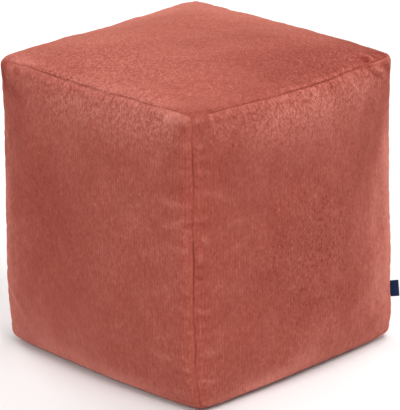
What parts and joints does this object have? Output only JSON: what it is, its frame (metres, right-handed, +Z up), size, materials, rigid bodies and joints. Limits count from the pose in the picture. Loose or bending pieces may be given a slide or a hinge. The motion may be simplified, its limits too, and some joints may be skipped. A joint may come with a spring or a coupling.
{
  "type": "cube pouf stool",
  "caption": "Soft filled cube pouf in fine-rib cord, used as a low stool or footrest, with a folded tape tab in one upright seam.",
  "frame": {"origin": "on the floor, under the middle of the cube's box", "axes": "+Z up; the +X and -Y sides are the two that show, meeting at the front upright seam; the tab stands out of the upright seam where the +X and +Y sides meet"},
  "size_m": [0.4182, 0.4162, 0.4267],
  "materials": {
    "rib_cord": "brushed fine-rib cord, dusty terracotta, soft nap with a slight sheen",
    "woven_tape": "closely woven dark blue tape, plain, slight satin sheen"
  },
  "bodies": {
    "root": {"pouf_body": "rib_cord", "label_tab": "woven_tape"}
  },
  "joints": []
}
